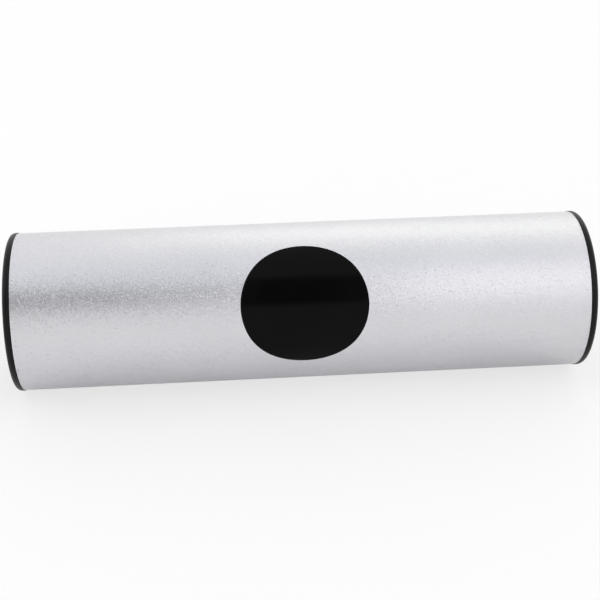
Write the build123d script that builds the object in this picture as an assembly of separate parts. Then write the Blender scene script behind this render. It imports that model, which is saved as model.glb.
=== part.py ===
from build123d import *
import math
import os

# A ganza: a tube shaker of satin aluminium with black plugs in its ends, a round label on
# its middle and loose steel shot inside. It lies on its side with the tube along X.
# The front is -Y, and the origin is on the surface below the tube's middle. Millimetres.

# Tube
tube_outside_diameter = 60.0
tube_wall = 1.5
tube_length = 213.0
tube_edge_break = 0.3

# End caps: a flange that covers the tube's end, and a hollow plug inside the bore
flange_thickness = 2.6
flange_overhang = 0.2
flange_edge_radius = 1.8
plug_depth = 14.0
plug_wall = 2.0
plug_clearance = 0.35
plug_lead_in = 0.8
crush_rib_count = 12
crush_rib_width = 1.6
crush_rib_clearance = 0.05
crush_rib_root = 0.5

# Label: a disc of vinyl bent round the tube
label_diameter = 47.0
label_thickness = 0.12
label_adhesive = 0.03
label_tilt = 31.0
label_arcs = 8

# Loose shot: rows of balls in lanes along the bore, one layer nestled on the other
shot_diameter = 4.5
shot_gap = 0.3
shot_wall_clearance = 0.15
shot_end_run = 46.0
wall_layer_lanes = 7
middle_layer_lanes = 6
top_layer_lanes = 3
balls_fewer_each_layer = 2

# Sizes that follow from these
tube_radius = tube_outside_diameter / 2
bore_radius = tube_radius - tube_wall
flange_radius = tube_radius + flange_overhang
axis_height = flange_radius
plug_radius = bore_radius - plug_clearance
cup_radius = plug_radius - plug_wall
crush_rib_radius = bore_radius - crush_rib_clearance
chamber_length = tube_length - 2 * plug_depth
tube_axis = Pos(0, 0, axis_height)


def ring_along_x(outer_radius, inner_radius, length):
    """A straight round wall, centred on the tube's axis."""
    wall = Cylinder(outer_radius, length) - Cylinder(inner_radius, length)
    return tube_axis * Rot(Y=90) * wall


def make_tube():
    """The tube, with the sharp edges of its cut ends broken."""
    tube = ring_along_x(tube_radius, bore_radius, tube_length)
    return chamfer(tube.edges().filter_by(GeomType.CIRCLE), tube_edge_break)


def make_cap():
    """An end cap on the X axis: its flange faces +X and its seat, at x = 0, meets the tube's end."""
    with BuildSketch() as section:
        with BuildLine():
            Polyline(
                (flange_thickness, 0),
                (flange_thickness, flange_radius),
                (0, flange_radius),
                (0, plug_radius),
                (plug_lead_in - plug_depth, plug_radius),
                (-plug_depth, plug_radius - plug_lead_in),
                (-plug_depth, cup_radius),
                (0, cup_radius),
                (0, 0),
                close=True,
            )
        make_face()
        rim_corner = section.vertices().sort_by_distance((flange_thickness, flange_radius))[0]
        fillet(rim_corner, flange_edge_radius)
    return revolve(section.sketch, Axis.X) + make_crush_ribs()


def make_crush_ribs():
    """Low ribs along the outside of the plug, pressed against the bore."""
    rib_length = plug_depth - 2 * plug_lead_in
    root_radius = plug_radius - crush_rib_root
    rib_height = crush_rib_radius - root_radius
    centre = (-plug_lead_in - rib_length / 2, root_radius + rib_height / 2)
    section = Pos(*centre) * Rectangle(rib_length, rib_height)
    rib = revolve(section, Axis.X, math.degrees(crush_rib_width / crush_rib_radius))
    return [Rot(X=360 * step / crush_rib_count) * rib for step in range(crush_rib_count)]


def on_label_edge(turn, radius):
    """A point of the label's round edge, bent to a radius and seen from the label's own direction."""
    along = label_diameter / 2 * math.cos(turn)
    around = label_diameter / 2 * math.sin(turn)
    return (along, radius * math.sin(around / radius))


def make_label():
    """A round sheet that follows the tube. Its outline is a ring of short arcs."""
    inner_radius = tube_radius + label_adhesive
    outer_radius = inner_radius + label_thickness
    tilt = math.radians(label_tilt)
    facing = Plane((0, 0, axis_height), x_dir=(1, 0, 0), z_dir=(0, -math.cos(tilt), math.sin(tilt)))
    half_arc = math.pi / label_arcs
    with BuildSketch(facing) as outline:
        with BuildLine():
            for arc in range(label_arcs):
                turns = [half_arc * (2 * arc + part) for part in range(3)]
                ThreePointArc(*[on_label_edge(turn, outer_radius) for turn in turns])
        make_face()
    block = extrude(outline.sketch, outer_radius + label_thickness)
    return block & ring_along_x(outer_radius, inner_radius, tube_length)


def shot_layers():
    """Each layer of the bed: its radius, its number of lanes and the angle between them.

    The middle layer lies in the valleys of the wall layer, with its lanes one spacing apart,
    and the top layer in every other valley of the middle one.
    """
    spacing = shot_diameter + shot_gap
    wall_radius = bore_radius - shot_wall_clearance - shot_diameter / 2
    nestle = 2 * wall_radius * spacing * math.cos(math.pi / 6)
    middle_radius = math.sqrt(wall_radius**2 + spacing**2 - nestle)
    pitch = 2 * math.asin(spacing / 2 / middle_radius)
    top_radius = middle_radius * math.cos(pitch / 2) - spacing * math.cos(math.pi / 6)
    return [
        (wall_radius, wall_layer_lanes, pitch),
        (middle_radius, middle_layer_lanes, pitch),
        (top_radius, top_layer_lanes, 2 * pitch),
    ]


def make_shot_row(ball_count, lane_radius, lane_angle):
    """One lane of balls along the tube, at an angle from straight below its axis."""
    spacing = shot_diameter + shot_gap
    y = lane_radius * math.sin(lane_angle)
    z = axis_height - lane_radius * math.cos(lane_angle)
    balls = []
    for ball in range(ball_count):
        x = spacing * (ball - (ball_count - 1) / 2)
        balls.append(Pos(x, y, z) * Sphere(shot_diameter / 2))
    return Compound(children=balls)


def make_shot_rows():
    """All the rows, layer by layer. Higher layers are shorter, so that the bed's ends slope."""
    bed_length = chamber_length - 2 * shot_end_run
    ball_count = int((bed_length + shot_gap) / (shot_diameter + shot_gap))
    rows = []
    for lane_radius, lanes, pitch in shot_layers():
        for lane in range(lanes):
            lane_angle = pitch * (lane - (lanes - 1) / 2)
            rows.append(make_shot_row(ball_count, lane_radius, lane_angle))
        ball_count -= balls_fewer_each_layer
    return rows


cap = make_cap()
pieces = {
    "tube": make_tube(),
    "left_cap": tube_axis * Pos(-tube_length / 2, 0, 0) * Rot(Z=180) * cap,
    "right_cap": tube_axis * Pos(tube_length / 2, 0, 0) * cap,
    "label": make_label(),
}
for number, row in enumerate(make_shot_rows(), start=1):
    pieces[f"shot_row_{number:02d}"] = row

os.makedirs("parts", exist_ok=True)
for name, piece in pieces.items():
    export_step(piece, f"parts/{name}.step")
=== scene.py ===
import math

import bmesh
import bpy
from mathutils import Matrix, Vector


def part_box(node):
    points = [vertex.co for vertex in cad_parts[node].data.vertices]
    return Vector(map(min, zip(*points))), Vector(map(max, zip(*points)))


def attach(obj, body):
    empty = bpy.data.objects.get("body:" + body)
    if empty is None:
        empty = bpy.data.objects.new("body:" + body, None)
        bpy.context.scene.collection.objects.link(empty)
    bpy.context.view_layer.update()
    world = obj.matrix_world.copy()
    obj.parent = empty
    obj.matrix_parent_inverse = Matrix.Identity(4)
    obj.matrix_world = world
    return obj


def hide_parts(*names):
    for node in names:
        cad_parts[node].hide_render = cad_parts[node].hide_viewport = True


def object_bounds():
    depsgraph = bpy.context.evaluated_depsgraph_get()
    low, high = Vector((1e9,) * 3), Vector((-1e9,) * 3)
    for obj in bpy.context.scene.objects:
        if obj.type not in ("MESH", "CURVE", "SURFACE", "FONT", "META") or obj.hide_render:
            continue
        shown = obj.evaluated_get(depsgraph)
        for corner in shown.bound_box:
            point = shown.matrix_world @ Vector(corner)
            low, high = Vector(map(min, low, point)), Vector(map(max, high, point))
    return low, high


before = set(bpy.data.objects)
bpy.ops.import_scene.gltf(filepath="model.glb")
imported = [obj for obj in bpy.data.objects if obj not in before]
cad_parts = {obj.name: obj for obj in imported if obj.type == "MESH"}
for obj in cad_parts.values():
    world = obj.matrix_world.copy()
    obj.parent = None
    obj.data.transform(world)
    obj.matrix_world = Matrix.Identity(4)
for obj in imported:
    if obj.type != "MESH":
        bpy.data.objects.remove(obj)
cad_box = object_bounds()

# The tube
# A length of drawn aluminium tube, blasted with fine bead, which leaves an even satin skin with a
# fine grain. Both ends are cut square with their edges broken, and the cut is coloured paler, a
# painted highlight along each end.
tube_low, tube_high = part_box("tube")
tube_half_length = tube_high.x
axis_height = (cad_box[0][2] + cad_box[1][2]) / 2
tube_radius = axis_height - tube_low.z
tube_wall = 0.0015
tube_edge_break = 0.0003
tube_edge_steps = 2
round_steps = 240
weld_distance = 1e-7
sharp_angle = math.radians(35)
tube_axis = Vector((1, 0, 0))
tube_centre = Vector((0, 0, axis_height))


def spin_round(bm, centre, axis):
    """Spins all of a bmesh once round an axis, and closes its seam and poles."""
    bmesh.ops.spin(
        bm,
        geom=bm.verts[:] + bm.edges[:],
        cent=centre,
        axis=axis,
        dvec=(0, 0, 0),
        angle=2 * math.pi,
        steps=round_steps,
        use_merge=True,
        use_duplicate=False,
    )
    bmesh.ops.remove_doubles(bm, verts=bm.verts, dist=weld_distance)
    bmesh.ops.recalc_face_normals(bm, faces=bm.faces)


def spin_section(points):
    """A bmesh of a section, given as (x, radius) points, spun round the tube's axis."""
    bm = bmesh.new()
    verts = [bm.verts.new((x, 0, axis_height - radius)) for x, radius in points]
    for pair in zip(verts, verts[1:]):
        bm.edges.new(pair)
    spin_round(bm, tube_centre, tube_axis)
    return bm


def round_edges(bm, edges, width, segments):
    """Rounds edges of a bmesh."""
    bmesh.ops.bevel(
        bm,
        geom=edges,
        offset=width,
        offset_type="OFFSET",
        affect="EDGES",
        segments=segments,
        profile=0.5,
    )


def make_piece(bm, node, material):
    """Turns a bmesh into the piece that stands for a node of the shaker's own body."""
    for face in bm.faces:
        face.smooth = True
    for edge in bm.edges:
        edge.smooth = edge.calc_face_angle(0) < sharp_angle
    mesh = bpy.data.meshes.new(node)
    bm.to_mesh(mesh)
    bm.free()
    mesh.materials.append(material)
    piece = bpy.data.objects.new(node + "_finished", mesh)
    bpy.context.scene.collection.objects.link(piece)
    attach(piece, "shaker")
    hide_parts(node)


mix_factor = 0
mix_first_colour = 6
mix_second_colour = 7
mix_colour_out = 2


class Wire:
    """A value in a material. Arithmetic on it adds Math nodes, and node() adds any other node."""

    def __init__(self, tree, socket=None):
        self.tree = tree
        self.socket = socket

    def node(self, kind, settings, sockets, out=0):
        """Adds a node with these settings, fills its sockets and gives the wire that leaves it."""
        made = self.tree.nodes.new("ShaderNode" + kind)
        for name, value in settings.items():
            setattr(made, name, value)
        for name, value in sockets.items():
            if isinstance(value, Wire):
                self.tree.links.new(value.socket, made.inputs[name])
            else:
                made.inputs[name].default_value = value
        return Wire(self.tree, made.outputs[out] if made.outputs else None)

    def maths(self, operation, first, second):
        """Adds a Math node that works on two values."""
        return self.node("Math", {"operation": operation}, {0: first, 1: second})

    def __add__(self, other):
        return self.maths("ADD", self, other)

    def __sub__(self, other):
        return self.maths("SUBTRACT", self, other)

    def __mul__(self, other):
        return self.maths("MULTIPLY", self, other)

    __radd__ = __add__
    __rmul__ = __mul__

    def __rsub__(self, other):
        return self.maths("SUBTRACT", other, self)

    def between(self, low, high):
        """0 at low and below, 1 at high and above, smooth between them."""
        settings = {"interpolation_type": "SMOOTHSTEP"}
        return self.node("MapRange", settings, {"Value": self, "From Min": low, "From Max": high})

    def blend(self, first, second):
        """The first colour where this is 0, the second where it is 1."""
        sockets = {mix_factor: self, mix_first_colour: first, mix_second_colour: second}
        return self.node("Mix", {"data_type": "RGBA"}, sockets, out=mix_colour_out)


def new_material(name):
    """An empty material, and a wire that starts in it."""
    material = bpy.data.materials.new(name)
    material.use_nodes = True
    material.node_tree.nodes.clear()
    return material, Wire(material.node_tree)


def noise(wire, size, detail, out="Fac"):
    """Noise whose lumps are about size metres across, centred on 0.5."""
    place = wire.node("TexCoord", {}, {}, out="Object")
    return wire.node("TexNoise", {}, {"Vector": place, "Scale": 1 / size, "Detail": detail}, out)


grain_mean = (0.5, 0.5, 0.5)


def leaning(wire, size, lean, flat, steep):
    """A normal that leans another way in each grain of about size metres, as on a blasted skin.

    Grains that tilt less than flat lie level with the skin, and those steeper than steep lean in full.
    """
    upright = wire.node("NewGeometry", {}, {}, out="Normal")
    grain = noise(wire, size, detail=1.0, out="Color")
    tilt = wire.node("VectorMath", {"operation": "SUBTRACT"}, {0: grain, 1: grain_mean})
    steepness = wire.node("VectorMath", {"operation": "LENGTH"}, {0: tilt}, out="Value")
    lean = lean * steepness.between(flat, steep)
    tilt = wire.node("VectorMath", {"operation": "SCALE"}, {0: tilt, "Scale": lean})
    leant = wire.node("VectorMath", {"operation": "ADD"}, {0: tilt, 1: upright})
    return wire.node("VectorMath", {"operation": "NORMALIZE"}, {0: leant})


def surface(wire, **sockets):
    """Ends a material in a shader with these sockets."""
    named = {name.replace("_", " "): value for name, value in sockets.items()}
    shader = wire.node("BsdfPrincipled", {}, named)
    wire.node("OutputMaterial", {}, {"Surface": shader})


aluminium_pale = (0.69, 0.687, 0.713, 1)
aluminium_dull = (0.67, 0.667, 0.693, 1)
skin_roughness = 0.3
rougher_handled = 0.08
rougher_grain = 0.06
grain_size = 0.00043
grain_lean = 1.4
grain_flat = 0.07
grain_steep = 0.28
handling_size = 0.03
handling_fade = (0.3, 0.7)
cut_painted_highlight = (0.9, 0.9, 0.92, 1)
cut_width = 0.0005

aluminium, wire = new_material("blasted_aluminium")
grain = noise(wire, grain_size, detail=1.0)
handling = noise(wire, handling_size, detail=2.0)
place = wire.node("TexCoord", {}, {}, out="Object")
along = wire.node("SeparateXYZ", {}, {0: place}, out="X")
from_middle = wire.node("Math", {"operation": "ABSOLUTE"}, {0: along})
# The cut ends take a paler colour, a painted highlight along each cut edge, and lose their grain.
cut = from_middle.between(tube_half_length - cut_width, tube_half_length - tube_edge_break)
skin = handling.between(*handling_fade).blend(aluminium_dull, aluminium_pale)
surface(
    wire,
    Base_Color=cut.blend(skin, cut_painted_highlight),
    Metallic=1.0,
    Roughness=skin_roughness + rougher_handled * handling + rougher_grain * grain,
    Normal=leaning(wire, grain_size, grain_lean * (1 - cut), grain_flat, grain_steep),
)

tube_section = [
    (-tube_half_length, tube_radius - tube_wall),
    (-tube_half_length, tube_radius),
    (tube_half_length, tube_radius),
    (tube_half_length, tube_radius - tube_wall),
]
bm = spin_section(tube_section + tube_section[:1])
cut_edges = [edge for edge in bm.edges if edge.calc_face_angle(0) > sharp_angle]
round_edges(bm, cut_edges, tube_edge_break, tube_edge_steps)
make_piece(bm, "tube", aluminium)

# The loose shot
# Steel balls, poured into the tube and burnished by rubbing on each other. They lie in the bottom
# of the bore in rows along it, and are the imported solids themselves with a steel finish.
steel_bright = (0.6, 0.6, 0.615, 1)
steel_rubbed = (0.5, 0.5, 0.515, 1)
steel_roughness = 0.12
rougher_rub = 0.16
rub_fade = (0.4, 0.7)
rub_size = 0.0015

steel, wire = new_material("burnished_steel")
rub = noise(wire, rub_size, detail=3.0)
surface(
    wire,
    Base_Color=rub.between(*rub_fade).blend(steel_bright, steel_rubbed),
    Metallic=1.0,
    Roughness=steel_roughness + rougher_rub * rub,
)
for node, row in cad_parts.items():
    if node.startswith("shot_row"):
        row.data.materials.clear()
        row.data.materials.append(steel)

# The end caps
# Black moulded plugs, pressed into the tube. A thin flange covers the tube's cut end, with a soft
# rounded rim, and a hollow plug behind it grips the bore with a ring of crush ribs.
flange_thickness = 0.0026
flange_rim_radius = 0.0018
flange_rim_steps = 12
plug_depth = 0.014
plug_wall = 0.002
plug_clearance = 0.00035
plug_lead_in = 0.0008
crush_rib_count = 12
crush_rib_faces = 2
crush_rib_clearance = 0.00005
bore_radius = tube_radius - tube_wall
plug_radius = bore_radius - plug_clearance
crush_rib_radius = bore_radius - crush_rib_clearance
cap_black = (0.004, 0.004, 0.0048, 1)
cap_worn = (0.007, 0.007, 0.0082, 1)
cap_specular = 0.16
cap_roughness = 0.26
rougher_mould = 0.12
rougher_flow = 0.08
flow_fade = (0.35, 0.75)
mould_grain = 0.0004
mould_depth = 0.000012
same_place = 1e-6


def bumped(wire, height, depth):
    """A normal that follows a height of 0 to 1, depth metres deep."""
    return wire.node("Bump", {}, {"Height": height, "Strength": 1.0, "Distance": depth})


plastic, wire = new_material("moulded_black_plastic")
mould = noise(wire, mould_grain, detail=2.0)
flow = noise(wire, handling_size, detail=2.0)
surface(
    wire,
    Base_Color=flow.between(*flow_fade).blend(cap_black, cap_worn),
    Roughness=cap_roughness + rougher_mould * mould + rougher_flow * flow,
    Specular_IOR_Level=cap_specular,
    Normal=bumped(wire, mould, mould_depth),
)


def radius_of(point):
    """How far a point lies from the tube's axis."""
    return math.hypot(point.y, point.z - axis_height)


def turn_of(face):
    """The angle round the tube's axis at which a face stands."""
    middle = face.calc_center_median()
    return math.atan2(middle.z - axis_height, middle.y)


def raise_crush_ribs(bm, side):
    """Raises low ribs from the plug's outer wall, evenly spaced round it."""
    middle_x = side * (tube_half_length - plug_depth / 2)
    wall_middle = plug_radius - plug_wall / 2
    wall = []
    for face in bm.faces:
        middle = face.calc_center_median()
        if abs(middle.x - middle_x) < same_place and radius_of(middle) > wall_middle:
            wall.append(face)
    wall.sort(key=turn_of)
    growth = crush_rib_radius / plug_radius
    off_axis = Matrix.Translation(-tube_centre)
    for first in range(0, len(wall), len(wall) // crush_rib_count):
        foot = wall[first:first + crush_rib_faces]
        raised = bmesh.ops.extrude_face_region(bm, geom=foot)["geom"]
        verts = [part for part in raised if isinstance(part, bmesh.types.BMVert)]
        bmesh.ops.scale(bm, verts=verts, vec=(1, growth, growth), space=off_axis)
        bmesh.ops.delete(bm, geom=foot, context="FACES")


def on_circle(edge, x, radius):
    """Whether an edge lies on the circle of a radius round the tube's axis, at x along it."""
    return all(
        abs(vert.co.x - x) < same_place and abs(radius_of(vert.co) - radius) < same_place
        for vert in edge.verts
    )


for node, side in (("left_cap", -1), ("right_cap", 1)):
    cap_low, cap_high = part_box(node)
    flange_radius = (cap_high.z - cap_low.z) / 2
    cap_section = [
        (flange_thickness, 0),
        (flange_thickness, flange_radius),
        (0, flange_radius),
        (0, plug_radius),
        (-plug_lead_in, plug_radius),
        (plug_lead_in - plug_depth, plug_radius),
        (-plug_depth, plug_radius - plug_lead_in),
        (-plug_depth, plug_radius - plug_wall),
        (0, plug_radius - plug_wall),
        (0, 0),
    ]
    bm = spin_section([(side * (tube_half_length + x), radius) for x, radius in cap_section])
    rim_x = side * (tube_half_length + flange_thickness)
    rim = [edge for edge in bm.edges if on_circle(edge, rim_x, flange_radius)]
    round_edges(bm, rim, flange_rim_radius, flange_rim_steps)
    raise_crush_ribs(bm, side)
    make_piece(bm, node, plastic)

# The label
# A disc of glossy black vinyl, cut round and stuck on the middle of the tube, where it faces up and
# forward. The sheet is thin enough to show a little of the blasted skin under it.
label_low, label_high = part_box("label")
label_radius = (label_high.x - label_low.x) / 2
label_adhesive = 0.00003
label_skin_radius = tube_radius + label_adhesive
label_thickness = 0.00012
label_tilt = math.radians(31.0)
label_rings = 24
label_black = (0.0014, 0.0014, 0.0016, 1)
label_scuffed = (0.0024, 0.0024, 0.0027, 1)
label_specular = 0.075
label_roughness = 0.1
rougher_scuff = 0.05
rougher_show_through = 0.04
scuff_fade = (0.4, 0.7)
peel_size = 0.0016
peel_depth = 0.000008
peel_share = 0.5

vinyl, wire = new_material("black_vinyl")
peel = noise(wire, peel_size, detail=2.0)
show_through = noise(wire, grain_size, detail=1.0)
scuff = noise(wire, handling_size, detail=3.0)
relief = peel_share * peel + (1 - peel_share) * show_through
surface(
    wire,
    Base_Color=scuff.between(*scuff_fade).blend(label_black, label_scuffed),
    Roughness=label_roughness + rougher_scuff * scuff + rougher_show_through * show_through,
    Specular_IOR_Level=label_specular,
    Normal=bumped(wire, relief, peel_depth),
)

bm = bmesh.new()
disc_middle = bm.verts.new((0, 0, 0))
disc_rim = bm.verts.new((label_radius, 0, 0))
spoke = bm.edges.new((disc_middle, disc_rim))
bmesh.ops.subdivide_edges(bm, edges=[spoke], cuts=label_rings - 1)
spin_round(bm, centre=(0, 0, 0), axis=(0, 0, 1))
for vert in bm.verts:
    turn = label_tilt + vert.co.y / label_skin_radius
    vert.co = (
        vert.co.x,
        -label_skin_radius * math.cos(turn),
        axis_height + label_skin_radius * math.sin(turn),
    )
bmesh.ops.recalc_face_normals(bm, faces=bm.faces)
# The sheet turns its face to the tube, because its thickness grows from its back
bmesh.ops.reverse_faces(bm, faces=bm.faces)
bmesh.ops.solidify(bm, geom=bm.faces[:], thickness=label_thickness)
make_piece(bm, "label", vinyl)

# The floor
# A plain white table top, wide enough to fill the view, that takes the shaker's soft shadow. It glows
# a little for the camera, and less for what mirrors it, so that the ground shows white.
floor_half = 4.0
floor_white = (0.955, 0.952, 0.945, 1)
glow_white = (1, 1, 1, 1)
floor_glow = 0.64
floor_mirrored_glow = 0.12

table, wire = new_material("white_table")
top = wire.node("BsdfDiffuse", {}, {"Color": floor_white})
glow = wire.node("Emission", {}, {"Color": glow_white, "Strength": 1.0})
seen = wire.node("LightPath", {}, {}, out="Is Camera Ray")
mirrored = wire.node("LightPath", {}, {}, out="Is Glossy Ray")
refracted = wire.node("LightPath", {}, {}, out="Is Transmission Ray")
share = floor_glow * seen + floor_mirrored_glow * (mirrored + refracted)
mixed = wire.node("MixShader", {}, {0: share, 1: top, 2: glow})
wire.node("OutputMaterial", {}, {"Surface": mixed})
bm = bmesh.new()
bmesh.ops.create_grid(bm, x_segments=1, y_segments=1, size=floor_half)
floor_mesh = bpy.data.meshes.new("floor")
bm.to_mesh(floor_mesh)
bm.free()
floor_mesh.materials.append(table)
floor = bpy.data.objects.new("floor", floor_mesh)
bpy.context.scene.collection.objects.link(floor)

# The light
# A white tent, with a dark seam in its front left side that ends in a dim gap above the camera. Two
# soft panels light its right side, in front and behind, and a small lamp lights its left.
tent_white = (0.952, 0.953, 0.955, 1)
tent_top = (0.925, 0.943, 0.98, 1)
tent_back = (1.03, 1.035, 1.045, 1)
gap_dim = (0.1, 0.1, 0.115, 1)
seam_dark = (0.05, 0.05, 0.055, 1)
front_panel_white = (1.49, 1.49, 1.515, 1)
back_panel_white = (1.52, 1.53, 1.46, 1)
top_fade = (0.5, 0.95)
back_fade = (0.0, 0.5)

tent = bpy.data.worlds.new("tent")
tent.use_nodes = True
tent.node_tree.nodes.clear()
wire = Wire(tent.node_tree)
direction = wire.node("TexCoord", {}, {}, out="Generated")
to_right = wire.node("SeparateXYZ", {}, {0: direction}, out="X")
to_back = wire.node("SeparateXYZ", {}, {0: direction}, out="Y")
to_top = wire.node("SeparateXYZ", {}, {0: direction}, out="Z")


def stripe(rise, slope, core, edge, left, right):
    """1 on a stripe of the tent that runs from left to right, and 0 off it.

    It stands at a rise from the front and slopes to the left, and fades from core to edge, which are
    angles off its middle line. Its ends fade over left and right, which are pairs of to_right.
    """
    rise, slope, core, edge = [math.radians(angle) for angle in (rise, slope, core, edge)]
    across = (
        math.sin(slope),
        math.cos(slope) * math.sin(rise),
        math.cos(slope) * math.cos(rise),
    )
    off = wire.node("VectorMath", {"operation": "DOT_PRODUCT"}, {0: direction, 1: across}, out="Value")
    off = wire.node("Math", {"operation": "ABSOLUTE"}, {0: off})
    on = 1 - off.between(math.sin(core), math.sin(edge))
    return on * to_right.between(*left) * (1 - to_right.between(*right))


seam = stripe(rise=46, slope=8, core=7, edge=16.5, left=(-0.88, -0.72), right=(-0.4, -0.03))
front_panel = stripe(rise=50, slope=0, core=8, edge=34, left=(0.04, 0.18), right=(0.5, 0.95))
back_panel = stripe(rise=147, slope=0, core=0, edge=34, left=(-0.28, 0.0), right=(0.75, 0.98))
gap = stripe(rise=48, slope=0, core=14, edge=26, left=(-0.035, 0.0), right=(0.12, 0.155))
cloth = to_top.between(*top_fade).blend(tent_white, tent_top)
cloth = to_back.between(*back_fade).blend(cloth, tent_back)
cloth = back_panel.blend(cloth, back_panel_white)
cloth = front_panel.blend(cloth, front_panel_white)
cloth = gap.blend(cloth, gap_dim)
glow = wire.node("Background", {}, {"Color": seam.blend(cloth, seam_dark)})
wire.node("OutputWorld", {}, {"Surface": glow})
bpy.context.scene.world = tent

lamp_size = 0.2
lamp_radiance = 3.0
lamp_place = Vector((-0.8, 0.0, 0.45))

lamp = bpy.data.lights.new("left_lamp", "AREA")
lamp.size = lamp_size
lamp.energy = lamp_radiance * math.pi * lamp_size**2
lamp_object = bpy.data.objects.new("left_lamp", lamp)
lamp_object.location = lamp_place
lamp_object.rotation_mode = "QUATERNION"
lamp_object.rotation_quaternion = (tube_centre - lamp_place).to_track_quat("-Z", "Y")
bpy.context.scene.collection.objects.link(lamp_object)

# The camera
# It looks down on the shaker from the front, a little left of its middle, from arm's length. The
# lens and the aim fit the outline of the tube and both flanges.
camera_distance = 0.4736
camera_rise = math.radians(34.9)
camera_swing = math.radians(4.39)
camera_lens = 73.13
camera_sensor = 36.0
camera_nearest = 0.01
camera_aim_right = 0.0001
camera_aim_down = 0.0002
towards_camera = Vector(
    (
        -math.sin(camera_swing) * math.cos(camera_rise),
        -math.cos(camera_swing) * math.cos(camera_rise),
        math.sin(camera_rise),
    )
)
camera_data = bpy.data.cameras.new("camera")
camera_data.lens = camera_lens
camera_data.sensor_width = camera_sensor
camera_data.clip_start = camera_nearest
camera = bpy.data.objects.new("camera", camera_data)
camera.rotation_mode = "QUATERNION"
camera.rotation_quaternion = (-towards_camera).to_track_quat("-Z", "Y")
aim_shift = camera.rotation_quaternion @ Vector((camera_aim_right, -camera_aim_down, 0))
camera.location = tube_centre + aim_shift + towards_camera * camera_distance
bpy.context.scene.collection.objects.link(camera)
bpy.context.scene.camera = camera
bpy.context.scene.view_settings.view_transform = "Standard"
